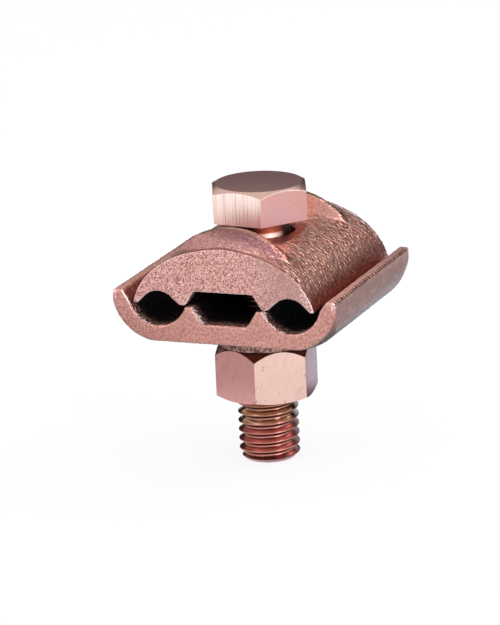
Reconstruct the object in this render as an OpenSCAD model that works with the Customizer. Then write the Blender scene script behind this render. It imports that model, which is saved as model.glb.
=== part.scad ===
// Cable to bus bar connector: two cast jaws drawn together by one hexagon bolt and nut.
// The origin is the centre of the bolt's free end, +Z runs up the bolt and Y runs along the cables.

/* [Bolt and nut] */
// Outside diameter of the thread
thread_d = 12.6; // [12.0:0.1:12.8]
// Length of the bolt under its head
bolt_length = 51.5; // [50:0.1:56]
// Length of the chamfer at the bolt's free end
end_chamfer = 1.1; // [0.5:0.1:2]
// Width across the flats of the head and the nut
across_flats = 19.05; // [18.4:0.05:19.2]
// Height of the bolt head
head_height = 7.15; // [6.5:0.05:8.5]
// Radius of the flat circle on top of the head
head_top_r = 9.0; // [8.5:0.05:9.4]
// Slope of the head's corner chamfer
head_chamfer_angle = 30; // [20:1:40]
// Turn of the head about the bolt axis
head_turn = -7; // [-30:1:30]
// Height of the nut
nut_height = 11.1; // [10.5:0.1:12]
// Height of the nut's lower face above the bolt's free end
nut_z = 13.75; // [12:0.05:16]
// Radius of the flat circle on top of the nut
nut_top_r = 9.4; // [9:0.05:9.5]
// Slope of the chamfer on top of the nut
nut_top_angle = 50; // [30:1:55]
// Radius of the flat circle under the nut
nut_foot_r = 9.6; // [9:0.05:10]
// Slope of the chamfer under the nut
nut_foot_angle = 25; // [15:1:40]
// Turn of the nut about the bolt axis
nut_turn = -21.4; // [-30:0.1:30]
// Radial clearance between the nut's bore and the thread
nut_clearance = 0.1; // [0.05:0.01:0.3]
// Depth of the countersinks at both ends of the nut's bore
nut_countersink = 0.6; // [0.3:0.1:1]

/* [Jaws] */
// Length of both jaws along the cables
jaw_length = 44.4; // [40:0.1:50]
// Radial clearance between the bolt holes and the thread
hole_clearance = 0.8; // [0.4:0.05:1]
// Radius of the small rounded corners of the castings
cast_radius = 0.5; // [0.2:0.05:0.6]

/* [Lower jaw] */
// Width over the two upturned lips
lower_width = 48.4; // [47.6:0.1:49]
// Height of the round boss over the nut
boss_height = 5.15; // [4:0.05:7]
// Radius of the round boss
boss_r = 10; // [9.8:0.1:11]
// Height from the flat underside to the top of the lips
lip_height = 10.35; // [10.3:0.05:10.6]
// Thickness of a lip at its top
lip_top = 2.1; // [1.8:0.05:2.2]
// Height over the underside at which a lip's inner wall leaves the groove
lip_root = 8.25; // [7.8:0.05:8.6]
// Outward lean of a lip's outer wall over its height
lip_lean = 0.5; // [0.4:0.05:0.8]
// Radius of the rounded outer corners
lower_corner_r = 7.6; // [7:0.1:9]
// Radius that the outer corners are dressed back to at the jaw's ends
end_corner_r = 10.2; // [9.6:0.1:10.4]
// Slope along the cables of the dressed corners
dressing_angle = 15; // [10:1:25]
// Distance by which the dressing's arc runs out past the underside and the lip's wall
dressing_run_out = 0.1; // [0.05:0.01:0.2]
// Distance of a cable groove from the bolt axis
groove_x = 14.4; // [14.2:0.05:14.6]
// Radius of the lower cable grooves
groove_r = 6.4; // [6.2:0.05:6.5]
// Thickness of the casting under a groove
groove_floor = 3.3; // [3.1:0.05:3.5]
// Height of the teeth beside the relief channel, over the underside
tooth_height = 7.55; // [7.2:0.05:7.6]
// Distance of a lower tooth's inner edge from the middle
tooth_x = 7.05; // [6.9:0.05:7.2]
// Half width of the relief channel's floor
channel_half = 5.0; // [4.6:0.1:5.4]
// Thickness of the casting under the relief channel
channel_floor = 4.15; // [3.6:0.05:4.6]
// Radius between the relief channel's floor and its flanks
channel_corner_r = 1.2; // [0.6:0.1:1.4]

/* [Upper jaw] */
// Half width of the arch's ellipse
arch_half = 19.8; // [19.7:0.05:20]
// Height of the arch's ellipse
arch_rise = 14.3; // [14:0.1:15]
// Height of the ellipse's centre over the underside of the lower jaw
arch_base = 5.75; // [5.6:0.05:5.9]
// Height of the arch's feet over the underside of the lower jaw
foot_z = 7.85; // [7.8:0.05:8.1]
// Width of a foot's flat underside
foot_width = 0.9; // [0.7:0.05:1.1]
// Height of the apex of an upper groove's flanks over the underside of the lower jaw
apex_z = 12.2; // [12:0.05:12.4]
// Radius at the apex of an upper groove
apex_r = 4.2; // [3.8:0.1:4.4]
// Inner and outer edges of an upper tooth, from the middle
upper_tooth = [8.25, 9.5]; // [8:0.05:10]
// Height of the upper teeth over the underside of the lower jaw
upper_tooth_z = 7.85; // [7.85:0.05:8.1]
// Half width of the upper relief channel's roof
roof_half = 6.4; // [6.2:0.1:6.6]
// Height of the upper relief channel's roof over the underside of the lower jaw
roof_z = 10.9; // [10.6:0.05:11.2]
// Height of the bolt's seat over the underside of the lower jaw
seat_z = 18.55; // [18.2:0.05:19]
// Half length of the seat along the cables
seat_half = 10.4; // [10.2:0.1:11]
// Distance of a rib's crest from the bolt axis along the cables
rib_y = 16; // [15:0.1:17.5]
// Radius of a rib's crest, seen along the cables
rib_r = 16.4; // [15.8:0.1:16.8]
// Height of the crest circle's centre over the underside of the lower jaw
rib_base = 7.2; // [7:0.05:7.5]
// Radius across a rib's rounded crest
rib_crest_r = 2.2; // [1:0.1:3]

/* [Hidden] */
$fn = 96;
// Largest turn of one step on a rounded corner, and the steps on the arch and on a groove
arc_step = 9;
arch_steps = 48;
groove_steps = 24;
// Overlap of the cutting shapes past the faces that they cut
past = 1;
thread_r = thread_d / 2;
corner_r = across_flats / 2 / cos(30);
nut_bore_r = thread_r + nut_clearance;
hole_r = thread_r + hole_clearance;
// Flat underside of the lower jaw, over the nut and the boss
base_z = nut_z + nut_height + boss_height;
groove_z = groove_floor + groove_r;
// Angles at which a lower groove leaves the tooth and meets the lip's inner wall
groove_start = 180 + asin((groove_z - tooth_height) / groove_r);
groove_end = 360 - asin((groove_z - lip_root) / groove_r);
// Angle between the underside and a lip's outer wall
outer_angle = 90 + atan(lip_lean / lip_height);
// Centre of the arc that an outer corner is dressed to, and its distance from the corner's own round
dressing_z = end_corner_r - dressing_run_out;
dressing_x = lower_width / 2 - lip_lean - dressing_z / tan(outer_angle / 2);
corner_reach = (dressing_z - lower_corner_r) / sin(outer_angle / 2) + lower_corner_r;
// Distance that the dressing runs in from the jaw's end, until it has left the corner
dressing_length = (corner_reach - end_corner_r) / tan(dressing_angle) + cast_radius;
// Angle at which the arch's ellipse reaches a foot, and the foot's inner edge
arch_foot_angle = asin((foot_z - arch_base) / arch_rise);
foot_inner = arch_half * cos(arch_foot_angle) - foot_width;
arch_top = arch_base + arch_rise;
// Level that the ribs grow from, half way between the relief channel's roof and the seat
rib_root_z = (roof_z + seat_z) / 2;
// Radii of a rib where it starts at the jaw's end and where it meets the seat
rib_edge_r = arch_top - rib_base;
rib_seat_r = seat_z - rib_base;
// Distance along the cables at which the seat's end slopes reach the crown of the arch
seat_rise_half = seat_half + (rib_y - seat_half) * (arch_top - seat_z) / (rib_r - rib_seat_r);

function unit(v) = v / norm(v);
function place(c) = [c[0], c[1]];
// Points of the arc that rounds corner b of the path a, b, c, no larger than its shorter side allows
function corner_arc(a, b, c, radius) =
    let (
        u = unit(a - b),
        v = unit(c - b),
        half = acos(u * v) / 2,
        r = min(radius, min(norm(a - b), norm(c - b)) * tan(half)),
        centre = b + unit(u + v) * r / sin(half),
        start = b + u * r / tan(half) - centre,
        finish = b + v * r / tan(half) - centre,
        from = atan2(start[1], start[0]),
        sweep = (atan2(finish[1], finish[0]) - from + 540) % 360 - 180,
        steps = ceil(abs(sweep) / arc_step)
    )
    [for (i = [0:steps]) centre + r * [cos(from + sweep * i / steps), sin(from + sweep * i / steps)]];
// An outline from corners given as [x, z, radius], where a plain point has radius 0
function rounded(corners) =
    let (n = len(corners))
    [
        for (i = [0:n - 1])
            each corners[i][2] == 0
                ? [place(corners[i])]
                : corner_arc(
                    place(corners[(i + n - 1) % n]),
                    place(corners[i]),
                    place(corners[(i + 1) % n]),
                    corners[i][2]
                )
    ];
// Corners of the +X half, from the middle outwards, joined to their mirror image
function both_sides(half) =
    concat(half, [for (i = [len(half) - 1:-1:0]) [-half[i][0], half[i][1], half[i][2]]]);

// A jaw's section in X and Z, drawn out along the cables
module along_cables(outline) {
    translate([0, 0, base_z])
        rotate([90, 0, 0])
            linear_extrude(height = jaw_length, center = true)
                polygon(outline);
}

module bolt_hole(bottom, top) {
    translate([0, 0, bottom - past])
        cylinder(r = hole_r, h = top - bottom + 2 * past);
}

// A turned blank with chamfered ends, which trims a hexagon prism's corners
module chamfered_blank(height, foot_r, foot_angle, top_r, top_angle) {
    foot_drop = (corner_r + past - foot_r) * tan(foot_angle);
    top_drop = (corner_r + past - top_r) * tan(top_angle);
    rotate_extrude()
        polygon([
            [0, 0],
            [foot_r, 0],
            [corner_r + past, foot_drop],
            [corner_r + past, height - top_drop],
            [top_r, height],
            [0, height]
        ]);
}

// A hexagon standing on Z = 0
module hexagon(height, turn, foot_r, foot_angle, top_r, top_angle) {
    intersection() {
        rotate(turn)
            cylinder(r = corner_r, h = height, $fn = 6);
        chamfered_blank(height, foot_r, foot_angle, top_r, top_angle);
    }
}

// One raised rib beside the bolt head: a slope up from the jaw's end, a round crest and a slope to the seat
module rib() {
    profile = [
        [0, seat_half, 0],
        [rib_seat_r, seat_half, 0],
        [rib_r, rib_y, rib_crest_r],
        [rib_edge_r, jaw_length / 2, 0],
        [0, jaw_length / 2, 0]
    ];
    intersection() {
        translate([0, 0, base_z + rib_base])
            rotate([-90, 0, 0])
                rotate_extrude()
                    polygon(rounded(profile));
        translate([-arch_half, 0, base_z + rib_root_z])
            cube([2 * arch_half, jaw_length, rib_r]);
    }
}

// The flat seat under the bolt head, with ends that slope up to the ribs
module seat_cut() {
    rise = (seat_rise_half - seat_half) * (arch_rise / (arch_top - seat_z));
    translate([0, 0, base_z + seat_z])
        rotate([90, 0, 90])
            linear_extrude(height = 2 * arch_half, center = true)
                polygon([
                    [-seat_half, 0],
                    [seat_half, 0],
                    [seat_half + rise, arch_rise],
                    [-seat_half - rise, arch_rise]
                ]);
}

// What is dressed off one outer corner at the jaw's end: the corner's block less a cone
module corner_dressing() {
    grow = tan(dressing_angle);
    translate([dressing_x, -jaw_length / 2, base_z + dressing_z])
        difference() {
            translate([0, -past, -dressing_z - past])
                cube([corner_reach + past, dressing_length + past, dressing_z + past]);
            translate([0, -2 * past, 0])
                rotate([-90, 0, 0])
                    cylinder(
                        r1 = end_corner_r - 2 * past * grow,
                        r2 = end_corner_r + (dressing_length + past) * grow,
                        h = dressing_length + 3 * past
                    );
        }
}

// Repeats a shape from the corner at +X and -Y at a jaw's four corners
module at_four_corners() {
    children();
    mirror([1, 0, 0])
        children();
    mirror([0, 1, 0]) {
        children();
        mirror([1, 0, 0])
            children();
    }
}

module lower_jaw() {
    half = concat(
        [
            [channel_half, channel_floor, channel_corner_r],
            [tooth_x, tooth_height, cast_radius]
        ],
        [
            for (i = [0:groove_steps])
                let (angle = groove_start + (groove_end - groove_start) * i / groove_steps)
                [groove_x + groove_r * cos(angle), groove_z + groove_r * sin(angle), 0]
        ],
        [
            [lower_width / 2 - lip_top, lip_height, cast_radius],
            [lower_width / 2, lip_height, cast_radius],
            [lower_width / 2 - lip_lean, 0, lower_corner_r]
        ]
    );
    color([0.72, 0.45, 0.38])
        difference() {
            union() {
                along_cables(rounded(both_sides(half)));
                translate([0, 0, base_z - boss_height])
                    cylinder(r = boss_r, h = boss_height + channel_floor / 2);
            }
            bolt_hole(base_z - boss_height, base_z + lip_height);
            at_four_corners()
                corner_dressing();
        }
}

module upper_jaw() {
    half = concat(
        [
            [roof_half, roof_z, cast_radius],
            [upper_tooth[0], upper_tooth_z, cast_radius],
            [upper_tooth[1], upper_tooth_z, cast_radius],
            [groove_x, apex_z, apex_r],
            [foot_inner, foot_z, 0]
        ],
        [
            for (i = [0:arch_steps / 2 - 1])
                let (angle = arch_foot_angle + (90 - arch_foot_angle) * i * 2 / arch_steps)
                [arch_half * cos(angle), arch_base + arch_rise * sin(angle), 0]
        ]
    );
    color([0.75, 0.48, 0.40])
        difference() {
            union() {
                difference() {
                    along_cables(rounded(both_sides(half)));
                    seat_cut();
                }
                rib();
                mirror([0, 1, 0])
                    rib();
            }
            bolt_hole(base_z + foot_z, base_z + arch_top + arch_rise);
        }
}

module hex_bolt() {
    color([0.80, 0.55, 0.45]) {
        rotate_extrude()
            polygon([
                [0, 0],
                [thread_r - end_chamfer, 0],
                [thread_r, end_chamfer],
                [thread_r, bolt_length + past],
                [0, bolt_length + past]
            ]);
        translate([0, 0, bolt_length])
            hexagon(head_height, head_turn, corner_r, 0, head_top_r, head_chamfer_angle);
    }
}

module hex_nut() {
    flare_r = nut_bore_r + nut_countersink;
    color([0.82, 0.58, 0.50])
        translate([0, 0, nut_z])
            difference() {
                hexagon(nut_height, nut_turn, nut_foot_r, nut_foot_angle, nut_top_r, nut_top_angle);
                rotate_extrude()
                    polygon([
                        [0, -past],
                        [flare_r + past, -past],
                        [nut_bore_r, nut_countersink],
                        [nut_bore_r, nut_height - nut_countersink],
                        [flare_r + past, nut_height + past],
                        [0, nut_height + past]
                    ]);
            }
}

lower_jaw();
upper_jaw();
hex_bolt();
hex_nut();
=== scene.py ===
import math
from types import SimpleNamespace

import bpy
from mathutils import Matrix, Vector


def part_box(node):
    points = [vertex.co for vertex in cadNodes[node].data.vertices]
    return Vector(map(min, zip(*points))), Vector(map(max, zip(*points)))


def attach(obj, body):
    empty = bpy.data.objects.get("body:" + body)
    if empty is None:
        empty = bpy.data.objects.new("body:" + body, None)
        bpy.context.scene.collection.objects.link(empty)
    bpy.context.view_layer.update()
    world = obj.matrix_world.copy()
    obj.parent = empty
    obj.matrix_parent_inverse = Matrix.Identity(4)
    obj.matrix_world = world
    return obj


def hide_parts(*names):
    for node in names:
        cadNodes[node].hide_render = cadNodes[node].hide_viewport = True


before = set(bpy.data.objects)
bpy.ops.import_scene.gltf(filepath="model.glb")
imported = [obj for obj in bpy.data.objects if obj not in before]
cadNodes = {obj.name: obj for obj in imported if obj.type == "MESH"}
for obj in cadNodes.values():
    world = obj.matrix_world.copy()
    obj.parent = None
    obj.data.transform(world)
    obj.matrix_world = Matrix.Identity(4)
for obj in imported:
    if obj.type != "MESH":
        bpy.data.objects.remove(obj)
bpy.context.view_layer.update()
mm = 0.001
scene = bpy.context.scene
print("frame loaded:", sorted(cadNodes))

meshing = {
    "firstMerge": 0.002 * mm,
    "finalMerge": 0.001 * mm,
    "flatAngle": 0.4,
    "cutGap": 0.0005 * mm,
    "edgeSegments": 3,
    "facets": 96,  # around a blank
}


# small helpers for working with one piece at a time
def clearSelection():
    if bpy.context.object and bpy.context.object.mode != "OBJECT":
        bpy.ops.object.mode_set(mode="OBJECT")
    bpy.ops.object.select_all(action="DESELECT")


def pick(piece):
    clearSelection()
    piece.select_set(True)
    bpy.context.view_layer.objects.active = piece


def edit(piece, select="SELECT"):
    pick(piece)
    bpy.ops.object.mode_set(mode="EDIT")
    bpy.ops.mesh.select_mode(type="VERT")
    bpy.ops.mesh.select_all(action=select)


def applyModifiers(piece):
    pick(piece)
    for modifier in list(piece.modifiers):
        bpy.ops.object.modifier_apply(modifier=modifier.name)


def combine(piece, tool, operation):
    modifier = piece.modifiers.new(operation.lower(), "BOOLEAN")
    modifier.operation = operation
    modifier.solver = "EXACT"
    modifier.object = tool
    applyModifiers(piece)
    bpy.data.objects.remove(tool)


def copyOfNode(name, nodeName):
    piece = bpy.data.objects.new(name, cadNodes[nodeName].data.copy())
    scene.collection.objects.link(piece)
    edit(piece)
    bpy.ops.mesh.remove_doubles(threshold=meshing["firstMerge"])  # the CAD mesh is loose triangles
    bpy.ops.mesh.dissolve_limited(angle_limit=math.radians(meshing["flatAngle"]))
    clearSelection()
    return piece


def addCylinder(radius, depth, middle):
    bpy.ops.mesh.primitive_cylinder_add(
        vertices=meshing["facets"], radius=radius, depth=depth, location=(0, 0, middle)
    )
    bpy.ops.object.transform_apply(location=True)
    return bpy.context.object


def cutLevel(piece, height, keepAbove):
    edit(piece)
    bpy.ops.mesh.bisect(
        plane_co=(0, 0, height), plane_no=(0, 0, 1), use_fill=True,
        clear_inner=keepAbove, clear_outer=not keepAbove, threshold=meshing["cutGap"],
    )
    clearSelection()


def softenEdges(piece, width, angle):
    bevel = piece.modifiers.new("soften", "BEVEL")
    bevel.width = width
    bevel.segments = meshing["edgeSegments"]
    bevel.limit_method = "ANGLE"
    bevel.angle_limit = math.radians(angle)
    bevel.harden_normals = False
    applyModifiers(piece)


def breakEdges(piece, width, angle, above):
    edit(piece, "DESELECT")
    bpy.ops.mesh.select_mode(type="EDGE")
    bpy.ops.mesh.edges_select_sharp(sharpness=math.radians(angle))
    bpy.ops.object.mode_set(mode="OBJECT")
    for e in piece.data.edges:
        if min(piece.data.vertices[i].co.z for i in e.vertices) < above:
            e.select = False
    bpy.ops.object.mode_set(mode="EDIT")
    bpy.ops.mesh.bevel(
        offset=width, segments=meshing["edgeSegments"], affect="EDGES", clamp_overlap=True
    )
    clearSelection()


def tidyMesh(piece, smoothAngle):
    edit(piece)
    bpy.ops.mesh.remove_doubles(threshold=meshing["finalMerge"])
    bpy.ops.mesh.normals_make_consistent(inside=False)
    clearSelection()
    pick(piece)
    bpy.ops.object.shade_smooth_by_angle(angle=math.radians(smoothAngle))
    clearSelection()


# the thread, shared by the bolt and the nut
thread = {
    "pitch": 1.954 * mm,
    "crestRadius": 6.28 * mm,
    "rootRadius": 5.2 * mm,
    "crestAtX": 1.047 * mm,  # height of a crest on the +X side, read from the photo
    "flat": 0.09,  # crest, root and each eased root corner, as shares of the pitch
    "flank": 0.32,
    "ease": 0.1,  # share of the depth that a root corner takes
    "steps": 64,
    "spareTurns": 2,
}


def threadedRod(name, low, high, grow):
    pitch = thread["pitch"]
    deep = thread["crestRadius"] - thread["rootRadius"]
    flat = pitch * thread["flat"]
    flank = pitch * thread["flank"]
    corner = deep * thread["ease"]
    steep = deep * (1 - thread["ease"])
    turnsBelow = math.ceil((thread["crestAtX"] - low) / pitch) + thread["spareTurns"]
    turnsAbove = math.ceil((high - thread["crestAtX"]) / pitch) + thread["spareTurns"] + 1
    start = thread["crestAtX"] - turnsBelow * pitch - flat / 2
    bpy.ops.mesh.primitive_plane_add(size=1 * mm)
    rod = bpy.context.object
    rod.name = name
    edit(rod)
    bpy.ops.mesh.merge(type="CENTER")  # one point, drawn out to a thread's profile
    bpy.ops.transform.translate(value=(thread["crestRadius"] + grow, 0, start))
    profile = [(0, flat), (-steep, flank), (-corner, flat), (0, flat), (corner, flat), (steep, flank)]
    for out, rise in profile:
        bpy.ops.mesh.extrude_region_move(TRANSFORM_OT_translate={"value": (out, 0, rise)})
    clearSelection()
    turns = rod.modifiers.new("turns", "SCREW")
    turns.axis = "Z"
    turns.angle = 2 * math.pi
    turns.screw_offset = pitch
    turns.iterations = turnsBelow + turnsAbove
    turns.steps = turns.render_steps = thread["steps"]
    turns.use_merge_vertices = False
    applyModifiers(rod)
    edit(rod)
    bpy.ops.mesh.remove_doubles(threshold=meshing["firstMerge"])
    clearSelection()
    cutLevel(rod, low, True)
    cutLevel(rod, high, False)
    edit(rod)
    bpy.ops.mesh.normals_make_consistent(inside=False)  # once both ends are closed
    clearSelection()
    return rod


# bolt: threaded rod with a chamfered end, plain neck and hexagon head
bolt = {
    "threadTop": 48.3 * mm,  # threaded nearly up to the head
    "runOut": 1.7 * mm,
    "runOutLap": 0.1 * mm,
    "neckRadius": 5.72 * mm,
    "neckInHead": 2.2 * mm,
    "headFoot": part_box("hex_bolt")[1].z - 7.15 * mm,
    "blankRadius": 6.3 * mm,
    "blankLength": 80 * mm,
    "endChamfer": 1.15 * mm,
    "edge": 0.16 * mm,
    "edgeAngle": 22,
    "sharpFoot": 0.05 * mm,  # the head's foot keeps its edge
    "hair": 0.01 * mm,  # parts two faces that would lie in one another
    "smoothAngle": 40,
}


def chamferedBlank():
    blank = addCylinder(bolt["blankRadius"], bolt["blankLength"], bolt["blankLength"] / 2)
    edit(blank, "DESELECT")
    bpy.ops.object.mode_set(mode="OBJECT")
    for e in blank.data.edges:
        e.select = all(blank.data.vertices[i].co.z < bolt["hair"] for i in e.vertices)
    bpy.ops.object.mode_set(mode="EDIT")
    bpy.ops.mesh.bevel(offset=bolt["endChamfer"], segments=1, affect="EDGES")
    clearSelection()
    return blank


def makeNeck():
    bpy.ops.mesh.primitive_cone_add(
        vertices=meshing["facets"], depth=bolt["runOut"],
        radius1=thread["crestRadius"] + bolt["hair"], radius2=bolt["neckRadius"],
        location=(0, 0, bolt["threadTop"] - bolt["runOutLap"] + bolt["runOut"] / 2),
    )
    neck = bpy.context.object  # the thread's run-out, drawn up into the head
    bpy.ops.object.transform_apply(location=True)
    edit(neck, "DESELECT")
    bpy.ops.object.mode_set(mode="OBJECT")
    for f in neck.data.polygons:
        f.select = f.normal.z > 0.9
    bpy.ops.object.mode_set(mode="EDIT")
    bpy.ops.mesh.select_mode(type="FACE")
    bpy.ops.mesh.extrude_region_move(TRANSFORM_OT_translate={"value": (0, 0, bolt["neckInHead"])})
    clearSelection()
    return neck


def makeBolt():
    rod = threadedRod("hexBolt", 0.0, bolt["threadTop"], 0.0)
    combine(rod, chamferedBlank(), "INTERSECT")  # its foot trims the last turns
    neck = makeNeck()
    head = copyOfNode("boltHead", "hex_bolt")
    cutLevel(head, bolt["headFoot"] + bolt["hair"], True)  # just clear of the shank's own edge
    breakEdges(head, bolt["edge"], bolt["edgeAngle"], bolt["headFoot"] + bolt["sharpFoot"])
    combine(rod, neck, "UNION")
    combine(rod, head, "UNION")
    tidyMesh(rod, bolt["smoothAngle"])
    return rod


# nut: hexagon with a tapped bore that runs on the bolt's thread
nut = {
    "foot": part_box("hex_nut")[0].z,
    "height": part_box("hex_nut")[1].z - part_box("hex_nut")[0].z,
    "plugRadius": 6.6 * mm,
    "countersinks": 1.3 * mm,  # both ends together
    "tapClearance": 0.06 * mm,
    "tapOverrun": 2 * mm,
    "edge": 0.14 * mm,
    "edgeAngle": 18,
    "smoothAngle": 32,
}


def makeNut():
    piece = copyOfNode("hexNut", "hex_nut")
    softenEdges(piece, nut["edge"], nut["edgeAngle"])
    middle = nut["foot"] + nut["height"] / 2
    plug = addCylinder(nut["plugRadius"], nut["height"] - nut["countersinks"], middle)
    combine(piece, plug, "UNION")  # fills the plain bore, to be tapped
    tapFoot = nut["foot"] - nut["tapOverrun"]
    tapTop = nut["foot"] + nut["height"] + nut["tapOverrun"]
    combine(piece, threadedRod("tap", tapFoot, tapTop, nut["tapClearance"]), "DIFFERENCE")
    tidyMesh(piece, nut["smoothAngle"])
    return piece


boltPiece = makeBolt()
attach(boltPiece, "bolt")
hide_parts("hex_bolt")
print("bolt made:", len(boltPiece.data.polygons), "faces")

nutPiece = makeNut()
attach(nutPiece, "nut")
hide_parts("hex_nut")
print("nut made:", len(nutPiece.data.polygons), "faces")

# jaws: the CAD castings with a remeshed skin, rounded edges and sand-cast lumps
castSkins = {
    "smoothing": 5,
    "smoothFactor": 0.5,
    "lumpSize": 0.52 * mm,
    "upper_jaw": {"voxel": 0.27 * mm, "lumpAxes": "XZ", "lumpHeight": 0.15 * mm},
    "lower_jaw": {"voxel": 0.32 * mm, "lumpAxes": "Z", "lumpHeight": 0.22 * mm},
}


def castSkin(nodeName):
    jaw = cadNodes[nodeName]
    own = castSkins[nodeName]
    skin = jaw.modifiers.new("skin", "REMESH")
    skin.mode = "VOXEL"
    skin.voxel_size = own["voxel"]
    skin.use_smooth_shade = True
    smooth = jaw.modifiers.new("roundEdges", "SMOOTH")
    smooth.factor = castSkins["smoothFactor"]
    smooth.iterations = castSkins["smoothing"]
    for direction in own["lumpAxes"]:  # none along Y, so the end faces stay even
        lumps = bpy.data.textures.new(jaw.name + "Lumps" + direction, "CLOUDS")
        lumps.noise_scale = castSkins["lumpSize"]
        lumps.noise_depth = 1
        raised = jaw.modifiers.new("lumps" + direction, "DISPLACE")
        raised.texture = lumps
        raised.texture_coords = "LOCAL"
        raised.direction = direction
        raised.strength = own["lumpHeight"]
        raised.mid_level = 0.5
    return jaw


upperJaw = castSkin("upper_jaw")
lowerJaw = castSkin("lower_jaw")
print("castings skinned")


# shading helpers: a socket's id_data is the node tree that it belongs to
def isSocket(value):
    return isinstance(value, bpy.types.NodeSocket)


def connect(target, value):
    if isSocket(value):
        target.id_data.links.new(value, target)
    else:
        target.default_value = value


def addNode(tree, kind, inputs=None, **settings):
    made = tree.nodes.new(kind)
    for key, value in settings.items():
        setattr(made, key, value)
    for key, value in (inputs or {}).items():
        connect(made.inputs[key], value)
    return made


def bareTree(owner):
    owner.use_nodes = True
    owner.node_tree.nodes.clear()
    return owner.node_tree


def newMetal(name):
    material = bpy.data.materials.new(name)
    tree = bareTree(material)
    shader = addNode(tree, "ShaderNodeBsdfPrincipled", {"Metallic": 1.0})
    addNode(tree, "ShaderNodeOutputMaterial", {"Surface": shader.outputs[0]})
    return material, shader


def addRelief(shader, height, relief):
    strength, distance = relief
    bump = addNode(
        shader.id_data, "ShaderNodeBump", {"Strength": strength, "Distance": distance, "Height": height}
    )
    connect(shader.inputs["Normal"], bump.outputs[0])


def calculate(operation, *values):
    tree = next(value.id_data for value in values if isSocket(value))
    return addNode(tree, "ShaderNodeMath", dict(enumerate(values)), operation=operation).outputs[0]


def plus(first, second):
    return calculate("ADD", first, second)


def minus(first, second):
    return calculate("SUBTRACT", first, second)


def times(first, *others):  # of masks: where all of them hold
    for other in others:
        first = calculate("MULTIPLY", first, other)
    return first


def either(first, second):
    return calculate("MAXIMUM", first, second)


def absolute(value):
    return calculate("ABSOLUTE", value)


def ramp(value, limits, full=1.0):
    start, end, low, high = (*limits, 0.0, full)[:4]  # limits may give both end values too
    made = addNode(
        value.id_data, "ShaderNodeMapRange", {0: value, 1: start, 2: end, 3: low, 4: high},
        interpolation_type="SMOOTHSTEP",
    )
    return made.outputs[0]


def between(factor, low, high):
    inputs = {0: factor, 2: low, 3: high}
    return addNode(factor.id_data, "ShaderNodeMix", inputs, data_type="FLOAT").outputs[0]


def blend(factor, low, high, mode="MIX"):
    made = addNode(factor.id_data, "ShaderNodeMix", {0: factor}, data_type="RGBA", blend_type=mode)
    for index, color in ((6, low), (7, high)):
        connect(made.inputs[index], color if isSocket(color) else (*color, 1))
    return made.outputs[2]


def darker(color, share):
    return [channel * share for channel in color]


def noise(place, scale, detail=2.0, turn=(0, 0, 0), shift=(0, 0, 0), rough=0.5):
    tree = place.id_data
    laid = addNode(tree, "ShaderNodeMapping", {"Vector": place, "Rotation": turn, "Location": shift})
    drawn = addNode(tree, "ShaderNodeMapping", {"Vector": laid.outputs[0], "Scale": scale})
    made = addNode(
        tree, "ShaderNodeTexNoise",
        {"Vector": drawn.outputs[0], "Scale": 1.0, "Detail": detail, "Roughness": rough},
    )
    return made.outputs[0]


def objectSpace(tree):
    source = addNode(tree, "ShaderNodeTexCoord").outputs
    toMm = (1 / mm, 1 / mm, 1 / mm)
    place = addNode(tree, "ShaderNodeMapping", {"Vector": source["Object"], "Scale": toMm}).outputs[0]
    x, y, z = addNode(tree, "ShaderNodeSeparateXYZ", {0: place}).outputs
    nx, ny, nz = addNode(tree, "ShaderNodeSeparateXYZ", {0: source["Normal"]}).outputs
    return SimpleNamespace(place=place, normal=source["Normal"], x=x, y=y, z=z, nx=nx, ny=ny, nz=nz)


# cast copper, shared by both jaws; a pair of limits says where a mark starts and where it is full
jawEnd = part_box("lower_jaw")[1].y / mm
castCopper = {
    # grain peaks, also the painted highlight on convex edges
    "peaks": (0.88, 0.60, 0.55),
    "pits": (0.34, 0.145, 0.115),
    "olive": (0.58, 0.325, 0.235),
    # painted shade for creases, corners and crevices
    "creviceShade": (0.36, 0.125, 0.095),
    # painted shade along the arch's seam line
    "seamShading": (0.24, 0.10, 0.085),
    "mauve": (0.42, 0.24, 0.27),
    # painted reflection that tints the sloping faces lavender
    "lavender": (0.80, 0.71, 0.755),
    # oxide, with painted shade, deep in the hollows
    "shadedOxide": (0.010, 0.007, 0.007),
    # painted lit speckles at the hollows' mouths
    "litSpeckle": (0.80, 0.36, 0.33),
    # painted highlight for lit edges, rims and corners
    "rimHighlight": (1.0, 0.78, 0.77),
    "sideRoughness": 0.36,
    "faceRoughness": 0.46,
    "dullness": (0.0, 1.0, 1.0, 0.1),  # from metal to dull oxide
    "specular": 0.15,
    "relief": (1.0, 0.1 * mm),
}
castGrain = {
    "tone": {"scale": (0.8, 0.8, 0.8), "shift": (6, 3, 1)},
    "clouds": {"scale": (0.16, 0.16, 0.16)},
    "specks": {"scale": (2.8, 1.9, 2.8), "shift": (8, 1, 5)},
    "pinholeScale": 1.5,
    "endFace": (0.30, 0.58),
    "warmth": (0.40, 0.60),
    "facePits": (0.34, 0.50),
    "facePeaks": (0.53, 0.66),
    "pinholes": (0.24, 0.14),
    "faceSlope": (0.93, 0.80),
    "olive": (0.38, 0.62, 0.0, 0.55),
    "sidePits": (0.50, 0.36),
    "sidePeaks": (0.50, 0.63, 0.0, 0.8),
    "wallStreaks": (0.36, 0.64),
    "wallDark": 0.84,
    "wallRelief": 0.2,
    "highlightEdges": (0.53, 0.60),
    "hollowEdges": (0.47, 0.42, 0.0, 0.6),
}


def castSpace(tree, look):
    at = objectSpace(tree)
    at.wide = absolute(at.x)
    at.depth = minus(jawEnd, absolute(at.y))  # in from the nearer end
    at.turned = absolute(at.ny)
    at.endFace = ramp(at.turned, castGrain["endFace"])
    at.wall = ramp(absolute(at.nx), look["evenWall"])
    at.fine = noise(at.place, look["faceGrain"], 1.0)
    at.streak = noise(at.place, look["sideGrain"])
    at.specks = noise(at.place, **castGrain["specks"])
    return at


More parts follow.
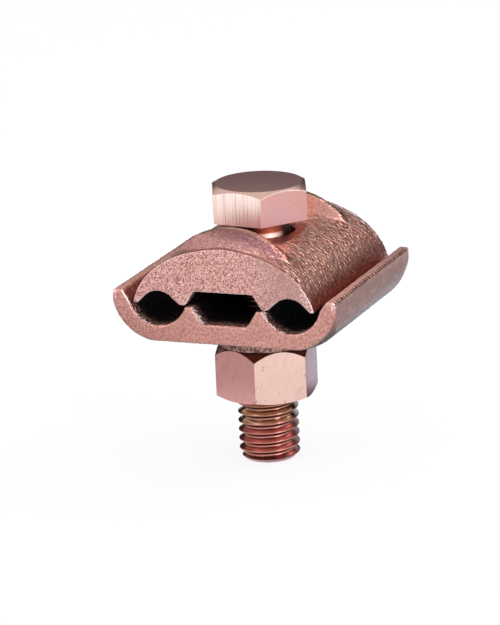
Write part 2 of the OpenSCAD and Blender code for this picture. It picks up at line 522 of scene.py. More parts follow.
def faceColor(at, look):
    grain = castGrain
    tone = noise(at.place, **grain["tone"])
    cells = addNode(
        at.place.id_data, "ShaderNodeTexVoronoi", {"Vector": at.place, "Scale": grain["pinholeScale"]}
    )
    pinholes = ramp(cells.outputs["Distance"], grain["pinholes"], look["pinholes"])
    slope = ramp(at.turned, grain["faceSlope"], look["slope"])
    color = blend(ramp(tone, grain["warmth"]), look["face"], look["faceWarm"])
    color = blend(ramp(at.fine, grain["facePits"]), look["facePits"], color)
    color = blend(ramp(at.fine, grain["facePeaks"], look["facePeaks"]), color, castCopper["peaks"])
    color = blend(pinholes, color, castCopper["pits"])
    # painted reflection: the sloping faces are tinted lavender
    return blend(slope, color, castCopper["lavender"], "MULTIPLY")


def sideColor(at, look):
    grain = castGrain
    clouds = noise(at.place, **grain["clouds"])
    color = blend(ramp(clouds, grain["olive"]), look["side"], castCopper["olive"])
    color = blend(ramp(at.streak, grain["sidePits"]), color, look["sidePits"])
    color = blend(ramp(at.streak, grain["sidePeaks"]), color, castCopper["peaks"])
    dark = darker(look["face"], grain["wallDark"])
    plain = blend(ramp(at.streak, grain["wallStreaks"]), dark, look["face"])
    return blend(at.wall, color, plain)


# worn convex edges lightened as a painted highlight, and painted shade in concave ones
def edgeHighlightAndShade(at, look, color):
    edge = addNode(at.place.id_data, "ShaderNodeNewGeometry").outputs["Pointiness"]
    color = blend(ramp(edge, castGrain["highlightEdges"], look["edgeGlint"]), color, castCopper["peaks"])
    return blend(ramp(edge, castGrain["hollowEdges"]), color, castCopper["creviceShade"])


# the line where the arch meets an end face: painted shade on top, a painted highlight on the steep flanks
# and at the back
seamShading = {
    "steep": (0.55, 0.40),
    "ragged": (0.45, 0.60, 0.0, 0.9),
    "back": (0.0, 1.0),
    "backReach": (0.0, 1.0, 0.0, 0.7),
    "depth": (0.75, 0.35),
    "offFace": (0.97, 0.80),
}


def paintSeamShading(at, look, color):
    steep = ramp(at.nz, seamShading["steep"])
    reach = plus(times(ramp(at.specks, seamShading["ragged"]), steep), ramp(at.y, seamShading["backReach"]))
    line = ramp(minus(at.depth, reach), seamShading["depth"])
    line = times(line, ramp(at.turned, seamShading["offFace"]), look["seamShading"])
    pale = either(steep, ramp(at.y, seamShading["back"]))
    return blend(line, color, blend(pale, castCopper["seamShading"], castCopper["rimHighlight"]))


# grooves and relief channel: black inside, with oxide darkened by painted shade deeper in, painted lit
# speckles at the mouth and a painted highlight on the lit rim
hollow = {
    "shadeRagged": 6.0,
    "shadeDepth": (-2.4, -0.2),
    "mouthDepth": (4.5, 0.3),
    "mouthSpecks": (0.56, 0.65),
    "channel": (9.4, 8.8),
    "rimRagged": 4.0,
    "rimDepth": (-1.2, -1.7),
    "rimFacing": (0.0, 0.5),
    "rimSpecks": (0.40, 0.52),
}


def darkenHollows(at, look, color):
    covered = times(look["covered"](at), minus(1.0, at.endFace))
    # painted shade over the oxide, deepening away from the open ends; painted lit speckles and a painted
    # highlight at the mouth
    ragged = minus(at.depth, times(at.fine, hollow["shadeRagged"]))
    shadedOxide = times(covered, ramp(ragged, hollow["shadeDepth"]))
    color = blend(shadedOxide, color, castCopper["shadedOxide"])
    mouth = times(ramp(at.depth, hollow["mouthDepth"]), ramp(at.specks, hollow["mouthSpecks"]))
    channel = ramp(at.wide, hollow["channel"], look["channelRim"])
    ragged = minus(minus(at.depth, times(at.specks, hollow["rimRagged"])), channel)
    rimHighlight = times(ramp(ragged, hollow["rimDepth"]), ramp(at.nx, hollow["rimFacing"]))
    litSpeckle = either(times(covered, mouth), times(covered, rimHighlight))
    rimTone = blend(ramp(at.specks, hollow["rimSpecks"]), castCopper["mauve"], look["litRim"])
    color = blend(litSpeckle, color, blend(rimHighlight, castCopper["litSpeckle"], rimTone))
    return color, either(shadedOxide, times(covered, litSpeckle))


def castMaterial(name, look):
    material, shader = newMetal(name)
    at = castSpace(shader.id_data, look)
    color = blend(at.endFace, sideColor(at, look), faceColor(at, look))
    color = edgeHighlightAndShade(at, look, color)
    color = paintSeamShading(at, look, color)
    color, dull = darkenHollows(at, look, color)
    color, matte = look["finish"](at, color)
    metallic = ramp(either(dull, matte), castCopper["dullness"])
    roughness = between(at.endFace, castCopper["sideRoughness"], castCopper["faceRoughness"])
    connect(shader.inputs["Base Color"], color)
    connect(shader.inputs["Metallic"], metallic)
    connect(shader.inputs["Roughness"], roughness)
    connect(shader.inputs["Specular IOR Level"], castCopper["specular"])
    sideRelief = ramp(at.wall, (0.0, 1.0, look["sideRelief"], castGrain["wallRelief"]))
    height = between(at.endFace, times(at.streak, sideRelief), times(at.fine, look["faceRelief"]))
    addRelief(shader, height, castCopper["relief"])
    return material


# upper jaw's own marks; heights and distances in mm
arch = {
    # painted shade on the rib's crest top
    "ridgeShade": (0.17, 0.075, 0.058),
    "ridgeFacing": (0.78, 0.92),
    "ridgeHeight": (51.2, 52.0),
    "ridgeAmount": 0.85,
    "ribHeight": (46.5, 48.0),
    "ribRight": (-3.0, 4.0),
    "plumShade": (0.26, 0.115, 0.13),  # painted shade below the crest
    "plumFrom": (16.9, 17.3),
    "plumTo": (20.8, 18.6),
    "plumSpecks": (0.62, 0.46, 0.2, 0.95),
    # painted highlight along the rib's crest, dimmer towards the tail
    "crestHighlight": (0.48, 0.255, 0.19),
    "ribTail": (0.33, 0.15, 0.12),
    "crestFrom": (14.9, 15.5),
    "crestTo": (17.2, 16.8),
    "crestSpecks": (0.70, 0.40, 0.35, 0.8),
    "crestToTail": (6.0, 12.0),
    "footFrom": (12.0, 14.4),  # painted shade at the front rib's outer foot
    "footTo": (17.4, 16.8),
    "footLeft": (6.5, 9.5),
    "footRight": (16.5, 13.5),
    "footFront": (1.0, -1.0, 0.0, 0.55),
    "backRibFacing": (-0.2, -0.5),  # the slope that faces the head's flats, with painted shade and a painted glow reflected from the head
    "backRibFrom": (8.0, 11.0),
    "ribShade": (0.40, 0.215, 0.185),
    "shadeFrom": (4.0, 9.0, 0.0, 0.85),
    "glow": (0.80, 0.27, 0.15),
    "glowFrom": (9.5, 5.0, 0.0, 0.45),
    "face": (0.6, 0.85),
    "greyerRight": (0.44, 0.26, 0.24),
    "greyerRightFrom": (2.0, 15.0, 0.0, 0.6),
    # painted highlight specks on the face's lower right
    "toeFrom": (15.8, 18.4),
    "toeSpecks": (0.54, 0.61),
    "outside": (-0.05, 0.1),
    "offFace": (0.5, 0.3),
    # painted light reflected from the lip onto the arch's lower flank
    "flank": (0.95, 0.47, 0.40),
    "flankHeight": (47.0, 43.0, 0.0, 0.38),
    "lowShade": (0.57, 0.36, 0.34),  # painted shade that darkens the lowest strip
    "lowShadeHeight": (42.6, 39.8, 0.0, 0.95),
}


def upperFinish(at, color):
    along = absolute(at.y)
    # painted shade on the rib's crest top
    ridgeShade = times(ramp(at.nz, arch["ridgeFacing"]), ramp(at.z, arch["ridgeHeight"]))
    color = blend(times(ridgeShade, arch["ridgeAmount"]), color, arch["ridgeShade"])
    rib = times(ramp(at.z, arch["ribHeight"]), ramp(at.x, arch["ribRight"]))
    # painted shade band below the crest
    plumShade = times(ramp(along, arch["plumFrom"]), ramp(along, arch["plumTo"]), rib)
    color = blend(times(plumShade, ramp(at.specks, arch["plumSpecks"])), color, arch["plumShade"])
    # painted highlight along the rib's crest, dimmer towards the tail
    crest = times(ramp(along, arch["crestFrom"]), ramp(along, arch["crestTo"]), rib)
    crestTone = blend(ramp(at.x, arch["crestToTail"]), arch["crestHighlight"], arch["ribTail"])
    color = blend(times(crest, ramp(at.specks, arch["crestSpecks"])), color, crestTone)
    # painted shade on the arch by the front rib's outer foot
    foot = times(ramp(along, arch["footFrom"]), ramp(along, arch["footTo"]))
    foot = times(foot, ramp(at.x, arch["footLeft"]), ramp(at.x, arch["footRight"]))
    color = blend(times(foot, ramp(at.y, arch["footFront"])), color, castCopper["creviceShade"])
    # painted shade and a painted reflected glow on the back rib's slope by the head
    backRib = times(ramp(at.ny, arch["backRibFacing"]), ramp(at.y, arch["backRibFrom"]))
    color = blend(times(backRib, ramp(at.x, arch["shadeFrom"])), color, arch["ribShade"])
    color = blend(times(backRib, ramp(at.x, arch["glowFrom"])), color, arch["glow"])
    # darker and greyer towards the right of the end faces
    face = ramp(at.turned, arch["face"])
    color = blend(times(face, ramp(at.x, arch["greyerRightFrom"])), color, arch["greyerRight"])
    # painted highlight specks on the face's lower right
    toe = times(face, ramp(at.x, arch["toeFrom"]), ramp(at.specks, arch["toeSpecks"]))
    color = blend(toe, color, castCopper["rimHighlight"])
    around = times(ramp(at.nz, arch["outside"]), ramp(at.turned, arch["offFace"]))
    # painted light reflected from the lip onto the lower flank
    color = blend(times(around, ramp(at.z, arch["flankHeight"])), color, arch["flank"])
    # painted shade on the lowest strip, by the crevice
    low = times(around, ramp(at.z, arch["lowShadeHeight"]))
    return blend(low, color, arch["lowShade"], "MULTIPLY"), 0.0


# lower jaw's own marks, in mm; minus heights and sides are from the lips' top and outer side
lip = {
    "top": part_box("lower_jaw")[1].z / mm,
    "outer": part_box("lower_jaw")[1].x / mm,
    "boss": (0.45, 0.27, 0.235),
    "bossNick": (0.15, 0.075, 0.06),
    "bossGrain": {"scale": (2.0, 2.0, 1.3), "shift": (1, 4, 0)},
    "bossNicks": (0.43, 0.56),
    "bossHeight": (30.1, 29.6),
    "outerWall": (21.0, 21.6),
    "stain": (0.84, 0.50, 0.38),
    "stainGrain": {"scale": (0.34, 0.20, 0.5), "detail": 5.0, "shift": (0, 2, 5), "rough": 0.7},
    "stainFacing": (0.6, 0.8),
    "stains": (0.50, 0.60, 0.0, 0.42),
    "wallGrain": {"scale": (1.2, 1.5, 2.4), "shift": (7, 2, 3)},
    "wallFacing": (0.5, 0.75),
    "wallPits": (0.48, 0.34, 0.0, 0.5),
    "wallPeaks": (0.58, 0.70, 0.0, 0.45),
    # painted shade on downward-facing walls
    "underside": (0.27, 0.245, 0.24),
    "undersideFacing": (-0.40, -0.70, 0.0, 0.75),
    "undersideOutward": (0.2, 0.4),
    "edge": (0.28, 0.20, 0.175),  # painted shade around the end faces
    "edgeOutward": (0.35, 0.65),
    "edgeLeft": (0.0, -1.0),
    "edgeBelow": (-0.25, -0.55),
    "edgeTurned": (0.2, 0.4, 0.0, 0.9),
    "front": (0.74, 0.36, 0.29),
    "rear": (0.50, 0.26, 0.23),
    "frontToRear": (-18, 18),
    "topHeight": (-0.7, -0.35),
    "topFacing": (0.45, 0.75),
    "topAmount": 0.85,
    "topMatte": 0.5,
    # dark nicks along the lips' outer corner, painted shade of its bumpy edge
    "nick": (0.10, 0.035, 0.03),
    "nickGrain": {"scale": (3.2, 3.2, 0.9), "shift": (4, 4, 0)},
    "topPeaks": (0.50, 0.64, 0.0, 0.5),
    "teeth": 5.1,  # radians to the millimetre
    "teethGrain": {"scale": (0.4, 1.1, 0.4), "detail": 1.0, "shift": (0, 6, 3)},
    "teethDrift": 7.0,
    "teethRagged": 3.0,
    "teethLimits": (-0.35, 0.2, 0.0, 0.95),
    "combSide": (-0.35, 0.05),
    "combFacing": (0.05, 0.3),
    # painted highlight specks on the lips' front corners
    "cornerDepth": (1.2, 0.5),
    "cornerSide": (-1.3, -0.6),
    "cornerHeight": (-2.4, -0.9),
    "cornerSpecks": (0.48, 0.56),
    # painted shade with painted lit speckles on the inner lip walls, and a painted highlight on their lit
    # edge
    "innerFacing": (-0.25, -0.6),
    "innerSide": (19.0, 19.6),
    "innerHeight": (37.7, 38.2),
    "innerDepth": (0.6, 1.6, 0.0, 0.85),
    "innerSpecks": (0.52, 0.64, 0.0, 0.6),
    "innerEdge": (0.6, 0.3),
    "innerLit": (0.1, 0.4),
}


def lipWalls(at, color):
    outerWall = ramp(at.wide, lip["outerWall"])
    stains = ramp(noise(at.place, **lip["stainGrain"]), lip["stains"])
    stains = times(stains, ramp(at.outward, lip["stainFacing"]), outerWall)
    color = blend(stains, color, lip["stain"])
    pitted = noise(at.place, **lip["wallGrain"])
    wall = times(ramp(at.outward, lip["wallFacing"]), outerWall)
    color = blend(times(wall, ramp(pitted, lip["wallPits"])), color, castCopper["mauve"])
    color = blend(times(wall, ramp(pitted, lip["wallPeaks"])), color, castCopper["peaks"])
    # painted shade on downward-facing walls
    below = times(ramp(at.nz, lip["undersideFacing"]), ramp(at.outward, lip["undersideOutward"]))
    color = blend(below, color, lip["underside"])
    # painted shade along the end faces' edges
    around = times(ramp(at.outward, lip["edgeOutward"]), ramp(at.x, lip["edgeLeft"]))
    around = either(around, ramp(at.nz, lip["edgeBelow"]))
    return blend(times(around, ramp(at.turned, lip["edgeTurned"])), color, lip["edge"])


def lipTops(at, color):
    high = ramp(at.overLip, lip["topHeight"])
    top = times(ramp(at.nz, lip["topFacing"]), high)
    topTone = blend(ramp(at.y, lip["frontToRear"]), lip["front"], lip["rear"])
    color = blend(times(top, lip["topAmount"]), color, topTone)
    nicks = noise(at.place, **lip["nickGrain"])
    color = blend(times(top, ramp(nicks, lip["topPeaks"])), color, castCopper["peaks"])
    # painted shade: dark nicks across the outer corner
    drift = times(noise(at.place, **lip["teethGrain"]), lip["teethDrift"])
    comb = calculate("SINE", plus(times(at.y, lip["teeth"]), drift))  # nicks across the outer corner
    comb = plus(comb, times(minus(nicks, 0.5), lip["teethRagged"]))
    combBand = times(ramp(plus(at.pastLip, nicks), lip["combSide"]), high, ramp(at.nz, lip["combFacing"]))
    color = blend(times(combBand, ramp(comb, lip["teethLimits"])), color, lip["nick"])
    # painted highlight specks on the lips' front corners
    corner = times(ramp(at.depth, lip["cornerDepth"]), ramp(at.pastLip, lip["cornerSide"]))
    corner = times(corner, ramp(at.overLip, lip["cornerHeight"]), ramp(at.specks, lip["cornerSpecks"]))
    return blend(corner, color, castCopper["rimHighlight"]), times(top, lip["topMatte"])


def lipInsides(at, color):
    # painted shade with painted lit speckles on the inner lip walls, and a painted highlight on their lit
    # edge
    inner = times(ramp(at.outward, lip["innerFacing"]), ramp(at.wide, lip["innerSide"]))
    inner = times(inner, ramp(at.z, lip["innerHeight"]))
    innerTone = blend(
        ramp(at.specks, lip["innerSpecks"]), castCopper["creviceShade"], castCopper["litSpeckle"]
    )
    color = blend(times(inner, ramp(at.depth, lip["innerDepth"])), color, innerTone)
    edge = times(inner, ramp(at.depth, lip["innerEdge"]), ramp(at.nx, lip["innerLit"]))
    return blend(edge, color, castCopper["rimHighlight"])


def lowerFinish(at, color):
    at.outward = calculate("DIVIDE", times(at.x, at.nx), at.wide)
    at.overLip = minus(at.z, lip["top"])
    at.pastLip = minus(at.wide, lip["outer"])
    bossTone = blend(
        ramp(noise(at.place, **lip["bossGrain"]), lip["bossNicks"]), lip["bossNick"], lip["boss"]
    )
    color = blend(ramp(at.z, lip["bossHeight"]), color, bossTone)
    color = lipWalls(at, color)
    color, matte = lipTops(at, color)
    return lipInsides(at, color), matte


# what lies inside the clamp: the lower jaw's bowls and channel, and all of the upper jaw's roof
groove = {
    "axisX": 14.4,
    "axisZ": 39.7,
    "reach": 6.75,
    "softness": 1.5,
    "bowlHeight": (39.0, 37.4),
    "channelSide": (9.2, 8.6),
    "channelHeight": (33.2, 33.8),
    "roofFacing": (0.10, -0.15),
    "roofSide": (8.2, 7.6),
    "roofHeight": (41.6, 41.0),
}


def underUpperJaw(at):
    wall = times(ramp(at.wide, groove["roofSide"]), ramp(at.z, groove["roofHeight"]))
    return either(ramp(at.nz, groove["roofFacing"]), wall)


def overLowerJaw(at):
    across = minus(at.wide, groove["axisX"])
    rise = minus(at.z, groove["axisZ"])
    away = plus(times(across, across), times(rise, rise))
    reach = groove["reach"] ** 2
    bowl = times(ramp(away, (reach + groove["softness"], reach)), ramp(at.z, groove["bowlHeight"]))
    channel = times(ramp(at.wide, groove["channelSide"]), ramp(at.z, groove["channelHeight"]))
    return either(bowl, channel)


upperCasting = {
    "face": (0.68, 0.355, 0.335),
    "side": (0.82, 0.385, 0.305),
    "faceWarm": (0.68, 0.35, 0.31),
    "facePits": (0.32, 0.14, 0.135),
    "facePeaks": 1.0,
    "pinholes": 0.5,
    "litRim": (0.40, 0.30, 0.29),
    "channelRim": 0.3,
    "faceGrain": (3.9, 3.9, 3.9),
    "faceRelief": 0.9,
    "sidePits": (0.48, 0.21, 0.17),
    "sideGrain": (1.05, 1.5, 1.05),
    "sideRelief": 1.7,
    "evenWall": (2.0, 2.13),  # out of reach: grain all the way down
    "edgeGlint": 0.2,
    "seamShading": 0.9,
    "slope": 1.0,
    "covered": underUpperJaw,
    "finish": upperFinish,
}
lowerCasting = {
    "face": (0.60, 0.295, 0.265),
    "side": (0.66, 0.32, 0.27),
    "faceWarm": (0.57, 0.285, 0.235),
    "facePits": (0.46, 0.215, 0.19),
    "facePeaks": 0.3,
    "pinholes": 0.25,
    "litRim": (1.0, 0.78, 0.77),
    "channelRim": 0.9,
    "faceGrain": (2.2, 2.2, 2.2),
    "faceRelief": 0.35,
    "sidePits": (0.36, 0.155, 0.125),
    "sideGrain": (1.5, 2.2, 1.5),
    "sideRelief": 1.2,
    "evenWall": (0.80, 0.93),  # the lips' walls are smoother
    "edgeGlint": 0.8,
    "seamShading": 0.0,
    "slope": 0.0,
    "covered": overLowerJaw,
    "finish": lowerFinish,
}

# machined copper, shared by the bolt and the nut
machined = {
    "bright": (1.0, 0.80, 0.74),
    "peach": (0.86, 0.58, 0.51),
    "pink": (0.72, 0.38, 0.355),
    "tan": (0.66, 0.43, 0.36),
    "grainLimits": (0.3, 0.65),
    # facing limits for the flat painted lighter as if lit
    "rubbed": (0.80, 0.95),
    "relief": (0.6, 0.03 * mm),
    "scratchScale": (0.10, 5.0, 0.10),
    "scratchLines": (0.64, 0.70),
    "scratchPatches": {"scale": (0.35, 0.35, 0.35), "detail": 1.0, "shift": (3, 7, 1)},
    "scratchWhere": (0.46, 0.58),
}


def scratches(place, tilt, turn, amount):
    lines = noise(place, machined["scratchScale"], 1.0, turn=(tilt, 0, turn))
    where = noise(place, **machined["scratchPatches"])
    return times(ramp(lines, machined["scratchLines"]), ramp(where, machined["scratchWhere"], amount))


# the side that faces a bearing, used to paint one side lighter as if lit
def rubbedSide(normal, bearing):
    toward = (math.cos(math.radians(bearing)), math.sin(math.radians(bearing)), 0)
    facing = addNode(
        normal.id_data, "ShaderNodeVectorMath", {0: normal, 1: toward}, operation="DOT_PRODUCT"
    )
    return ramp(facing.outputs["Value"], machined["rubbed"])


# bolt's finish: brushed head with one flat painted lighter as if lit, red thread that turns gold by the
# nut, and painted highlights and shade on the thread and neck; heights in mm
boltFinish = {
    "rubbedFlat": -97,  # bearings in degrees
    "rubbedNeck": -50,
    "brushing": {"scale": (2.2, 2.2, 0.06), "detail": 3.0, "rough": 0.7},
    "brushed": (0.24, 0.48),
    "hairline": (0.50, 0.32, 0.26),
    "hairGrain": {"scale": (5.5, 5.5, 0.05), "shift": (2, 9, 0)},
    "hairs": (0.58, 0.66, 0.0, 0.6),
    "grain": {"scale": (3.0, 3.0, 3.0)},
    "grainDark": 0.90,
    "lavender": (0.66, 0.38, 0.40),
    "cloudGrain": {"scale": (0.22, 0.22, 0.22)},
    "clouds": (0.42, 0.62, 0.0, 0.6),
    "chamferFacing": (0.30, 0.45),
    "top": (0.58, 0.345, 0.33),
    "topFacing": (0.93, 0.99),
    # painted highlight along the head's bevels
    "edge": (1.0, 0.84, 0.80),
    "edgeFrom": (0.20, 0.30),
    "edgeTo": (0.80, 0.66),
    "nick": (0.16, 0.07, 0.05),
    "scratches": (0.9, 0.3, 0.18),
    "red": (0.31, 0.072, 0.058),
    "gold": (0.36, 0.20, 0.115),
    "goldFrom": (8.5, 9.1),
    "goldLean": 0.12,
    # painted shade on the thread's downward flanks
    "under": (0.10, 0.03, 0.026),
    "underFacing": (-0.25, -0.6),
    "line": (0.58, 0.25, 0.21),  # painted highlight along each crest and root
    "rootHighlight": (5.27, 5.21),
    "crestHighlight": (6.22, 6.27),
    "lineOnGold": (0.0, 1.0, 1.0, 0.5),
    "foot": (0.50, 0.27, 0.29),
    "footHeight": (0.8, 0.4),
    # painted highlight on the run-out's lit side, painted red reflection on the neck, painted shadow
    # elsewhere
    "lastTurn": (0.82, 0.50, 0.45),
    "neck": (0.30, 0.065, 0.04),
    "shadow": (0.045, 0.018, 0.014),
    "neckFrom": (-1.2, -0.6),  # from the thread's top
    "runOutEnd": (0.55, 0.95),
    "headFrom": (-0.2, -0.05),  # from the head's foot
    "roughness": 0.30,
    "topRoughness": (0.0, 1.0, 0.0, 0.08),
    "flatRoughness": (0.0, 1.0, 0.0, 0.18),
    "polish": (-1.2, -0.6, 0.12, -0.14),
    "grainRelief": 0.35,
}


def headColor(at, look):
    hairs = ramp(noise(at.place, **look["hairGrain"]), look["hairs"])
    flat = blend(ramp(at.brushing, look["brushed"]), machined["tan"], machined["bright"])
    flat = blend(hairs, flat, look["hairline"])
    dark = darker(machined["pink"], look["grainDark"])
    satin = blend(ramp(at.fine, machined["grainLimits"]), dark, machined["pink"])
    satin = blend(ramp(noise(at.place, **look["cloudGrain"]), look["clouds"]), satin, look["lavender"])
    # the head's lit flat: brushed, and painted lighter as if lit
    color = blend(at.rubbed, satin, flat)
    color = blend(ramp(at.nz, look["chamferFacing"]), color, machined["tan"])
    color = blend(at.top, color, look["top"])
    # painted highlight along the head's bevels
    edge = times(ramp(at.nz, look["edgeFrom"]), ramp(at.nz, look["edgeTo"]))
    color = blend(edge, color, look["edge"])
    return blend(scratches(at.place, *look["scratches"]), color, look["nick"])


def rodColor(at, look):
    radius = calculate("SQRT", plus(times(at.x, at.x), times(at.y, at.y)))
    color = blend(at.gold, look["red"], look["gold"])
    # painted shade on the thread's downward flanks
    color = blend(ramp(at.nz, look["underFacing"]), color, look["under"])
    # painted highlight along each crest and root
    lines = either(ramp(radius, look["rootHighlight"]), ramp(radius, look["crestHighlight"]))
    color = blend(times(lines, ramp(at.gold, look["lineOnGold"])), color, look["line"])
    color = blend(ramp(at.z, look["footHeight"]), color, look["foot"])
    # the neck: painted shadow all round but on one side, where a painted highlight on the run-out and a
    # painted red reflection above it show
    neck = blend(ramp(at.overThread, look["runOutEnd"]), look["lastTurn"], look["neck"])
    neck = blend(rubbedSide(at.normal, look["rubbedNeck"]), look["shadow"], neck)
    return blend(ramp(at.overThread, look["neckFrom"]), color, neck)


def boltMaterial():
    look = boltFinish
    material, shader = newMetal("boltCopper")
    at = objectSpace(shader.id_data)
    at.overThread = minus(at.z, bolt["threadTop"] / mm)
    at.brushing = noise(at.place, **look["brushing"])
    at.fine = noise(at.place, **look["grain"])
    at.rubbed = rubbedSide(at.normal, look["rubbedFlat"])
    at.top = ramp(at.nz, look["topFacing"])
    at.gold = ramp(minus(plus(at.z, at.fine), times(at.x, look["goldLean"])), look["goldFrom"])
    onHead = ramp(minus(at.z, bolt["headFoot"] / mm), look["headFrom"])
    connect(shader.inputs["Base Color"], blend(onHead, rodColor(at, look), headColor(at, look)))
    dull = either(ramp(at.top, look["topRoughness"]), ramp(at.rubbed, look["flatRoughness"]))
    polish = times(at.gold, ramp(at.overThread, look["polish"]), minus(1.0, onHead))
    connect(shader.inputs["Roughness"], minus(plus(dull, look["roughness"]), polish))
    height = plus(times(at.brushing, at.rubbed), times(at.fine, look["grainRelief"]))
    addRelief(shader, height, machined["relief"])
    return material


# nut's finish: one flat painted lighter as if lit, scratches and dents, painted shade under the boss
nutFinish = {
    "rubbedFlat": -51.4,
    "roughness": 0.32,
    "grain": {"scale": (1.6, 1.6, 0.5), "detail": 3.0, "rough": 0.6},
    "satinDark": 0.94,
    "rubbedDark": 0.95,
    "grainRelief": 0.4,
    "steepScratches": (1.05, 0.9, 0.5),
    "flatScratches": (0.55, 0.9, 0.4),
    "dentGrain": {"scale": (1.1, 1.1, 0.7), "shift": (5, 2, 9)},
    "dents": (0.66, 0.74, 0.0, 0.7),
    "markDark": 0.45,
    # painted shade on the nut's top under the boss
    "bossShade": (0.12, 0.04, 0.025),
    "bossShadeFacing": (0.25, 0.5),
    "bossShadeHeight": (22.0, 22.6),
}


def nutMaterial():
    look = nutFinish
    material, shader = newMetal("nutCopper")
    at = objectSpace(shader.id_data)
    fine = noise(at.place, **look["grain"])
    grain = ramp(fine, machined["grainLimits"])
    satin = blend(grain, darker(machined["pink"], look["satinDark"]), machined["pink"])
    rubbed = blend(grain, darker(machined["peach"], look["rubbedDark"]), machined["peach"])
    # one flat painted lighter as if lit
    color = blend(rubbedSide(at.normal, look["rubbedFlat"]), satin, rubbed)
    lines = either(
        scratches(at.place, *look["steepScratches"]), scratches(at.place, *look["flatScratches"])
    )
    marks = either(lines, ramp(noise(at.place, **look["dentGrain"]), look["dents"]))
    color = blend(marks, color, darker(machined["tan"], look["markDark"]))
    # painted shade on the nut's top under the boss
    bossShade = times(ramp(at.nz, look["bossShadeFacing"]), ramp(at.z, look["bossShadeHeight"]))
    connect(shader.inputs["Base Color"], blend(bossShade, color, look["bossShade"]))
    connect(shader.inputs["Roughness"], look["roughness"])
    addRelief(shader, minus(times(fine, look["grainRelief"]), marks), machined["relief"])
    return material


def paint(piece, material):
    piece.data.materials.clear()
    piece.data.materials.append(material)


paint(upperJaw, castMaterial("upperCasting", upperCasting))
paint(lowerJaw, castMaterial("lowerCasting", lowerCasting))
paint(boltPiece, boltMaterial())
paint(nutPiece, nutMaterial())
print("materials set")

# stage: white floor and room, soft lamps, and cards that show in the metal's reflections only
stage = {
    "floorSize": 4.0,
    "floorDrop": 0.02 * mm,
    "floorColor": (0.9, 0.9, 0.9, 1),
    "white": (1, 1, 1, 1),
    "whiteness": 0.86,  # the rest of the floor takes the object's shadow
    "lampAim": (0, 0, 0.035),
}
lamps = {
    "keyLamp": {"power": 0.6, "size": 0.35, "place": (-0.35, -0.5, 0.35)},
    "rightLamp": {"power": 0.9, "size": 0.2, "place": (0.487, -0.27, 0.26)},
    "glintLamp": {"power": 0.8, "size": 0.2, "place": (0.36, 0.28, 0.5)},  # picks out the casting's grain
}
cards = {
    "backFlag": {  # darkens the arch and the head's top
        "size": (1.4, 0.36), "place": (-0.1, 0.45, 0.2), "aim": (-0.1, 0, 0.2),
        "shade": (0.02, 0.02, 0.02),
    },
    "blueCard": {  # cools the nut's far flat
        "size": (0.032, 0.028), "place": (0.016, 0.065, 0.014), "aim": (0.016, 0, 0.014),
        "shade": (0.62, 0.82, 1.0),
    },
    "lipCard": {  # greys the lip's outer wall
        "size": (0.053, 0.028), "place": (0.0585, 0.065, 0.014), "aim": (0.0585, 0, 0.014),
        "shade": (0.44, 0.51, 0.52),
    },
    "shadeCard": {  # greys that wall lower down
        "size": (0.035, 0.075), "place": (0.046, 0.032, 0.001), "aim": (0.046, 0.032, 1),
        "shade": (0.40, 0.425, 0.43),
    },
    "floorCard": {  # darkens the thread's sides
        "size": (0.08, 0.038), "place": (-0.01, 0.025, 0.0005), "aim": (-0.01, 0.025, 1),
        "shade": (0.05, 0.045, 0.05),
    },
    "blueFloor": {
        "size": (0.02, 0.02), "place": (0.012, 0.0545, 0.0005), "aim": (0.012, 0.0545, 1),
        "shade": (0.62, 0.82, 1.0),
    },
    "sideCard": {  # darkens the thread's left edge
        "size": (0.055, 0.022), "place": (-0.05, 0.022, 0.011), "aim": (0, 0, 0.011),
        "shade": (0.05, 0.045, 0.045),
    },
    "leftCard": {  # tones down the nut's left flat
        "size": (0.06, 0.032), "place": (-0.036, -0.024, 0.0155), "aim": (0, -0.008, 0.0155),
        "shade": (0.66, 0.61, 0.62),
    },
}


def addFloor():
    clearSelection()
    bpy.ops.mesh.primitive_plane_add(size=stage["floorSize"], location=(0, 0, -stage["floorDrop"]))
    floor = bpy.context.object
    floor.name = "floor"
    material = bpy.data.materials.new("whiteFloor")
    tree = bareTree(material)
    matte = addNode(tree, "ShaderNodeBsdfDiffuse", {"Color": stage["floorColor"]})
    white = addNode(tree, "ShaderNodeEmission", {"Color": stage["white"], "Strength": 1.0})
    rays = addNode(tree, "ShaderNodeLightPath").outputs
    seen = either(rays["Is Camera Ray"], rays["Is Glossy Ray"])
    seen = times(either(seen, rays["Is Transmission Ray"]), stage["whiteness"])
    mixed = addNode(tree, "ShaderNodeMixShader", {0: seen, 1: matte.outputs[0], 2: white.outputs[0]})
    addNode(tree, "ShaderNodeOutputMaterial", {"Surface": mixed.outputs[0]})
    floor.data.materials.append(material)


def addRoom():
    scene.world = bpy.data.worlds.new("whiteRoom")
    tree = bareTree(scene.world)
    white = addNode(tree, "ShaderNodeBackground", {"Color": stage["white"], "Strength": 1.0})
    addNode(tree, "ShaderNodeOutputWorld", {"Surface": white.outputs[0]})


def addLamp(name, power, size, place):
    light = bpy.data.lights.new(name, "AREA")
    light.energy = power
    light.size = size
    lamp = bpy.data.objects.new(name, light)
    scene.collection.objects.link(lamp)
    lamp.location = place
    lamp.rotation_euler = (Vector(place) - Vector(stage["lampAim"])).to_track_quat("Z", "Y").to_euler()


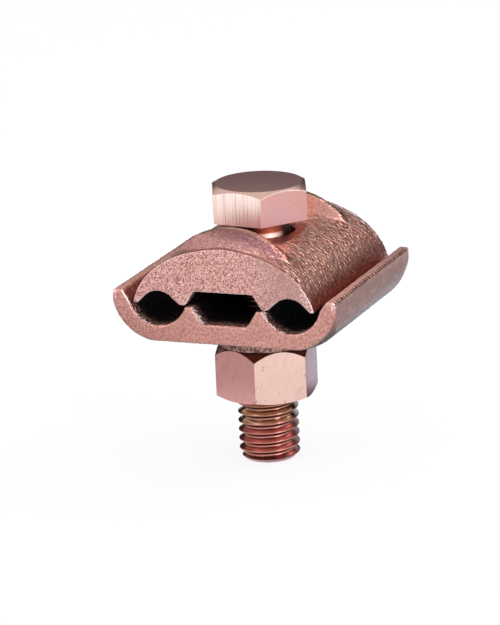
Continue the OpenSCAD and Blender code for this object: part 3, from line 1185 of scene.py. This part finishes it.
def addCard(name, size, place, aim, shade):
    bpy.ops.mesh.primitive_plane_add(size=1)
    card = bpy.context.object
    card.name = name
    card.matrix_world = (
        Matrix.Translation(place)
        @ (Vector(aim) - Vector(place)).to_track_quat("Z", "Y").to_matrix().to_4x4()
        @ Matrix.Diagonal((*size, 1, 1))
    )
    paper = bpy.data.materials.new(name + "Paper")
    tree = bareTree(paper)
    glow = addNode(tree, "ShaderNodeEmission", {"Color": (*shade, 1), "Strength": 1.0})
    addNode(tree, "ShaderNodeOutputMaterial", {"Surface": glow.outputs[0]})
    card.data.materials.append(paper)
    card.visible_camera = card.visible_diffuse = card.visible_shadow = False


addFloor()
addRoom()
for lampName, lampSettings in lamps.items():
    addLamp(lampName, **lampSettings)
for cardName, cardSettings in cards.items():
    addCard(cardName, **cardSettings)
print("stage lit")

# camera, fitted to the photograph
shot = {
    "azimuth": 22.14,
    "elevation": 15.8,
    "roll": -2.52,
    "distance": 901.6 * mm,
    "sideways": -2.92 * mm,
    "height": 30.79 * mm,
    "lens": 252.1,
    "sensor": 36,
    "clip": (0.05, 20),
}


def addCamera():
    azimuth, elevation, roll = (math.radians(shot[key]) for key in ("azimuth", "elevation", "roll"))
    back = Vector((
        math.sin(azimuth) * math.cos(elevation),
        -math.cos(azimuth) * math.cos(elevation),
        math.sin(elevation),
    ))
    level = Vector((math.cos(azimuth), math.sin(azimuth), 0))
    upright = back.cross(level)
    right = math.cos(roll) * level + math.sin(roll) * upright
    up = math.cos(roll) * upright - math.sin(roll) * level
    eye = Vector((0, 0, shot["height"])) + right * shot["sideways"] + back * shot["distance"]
    lens = bpy.data.cameras.new("photoCamera")
    lens.lens = shot["lens"]
    lens.sensor_width = shot["sensor"]
    lens.clip_start, lens.clip_end = shot["clip"]
    camera = bpy.data.objects.new("photoCamera", lens)
    scene.collection.objects.link(camera)
    camera.matrix_world = Matrix((
        (right.x, up.x, back.x, eye.x),
        (right.y, up.y, back.y, eye.y),
        (right.z, up.z, back.z, eye.z),
        (0, 0, 0, 1),
    ))
    scene.camera = camera


addCamera()
scene.view_settings.view_transform = "Standard"
print("camera set")

clearSelection()
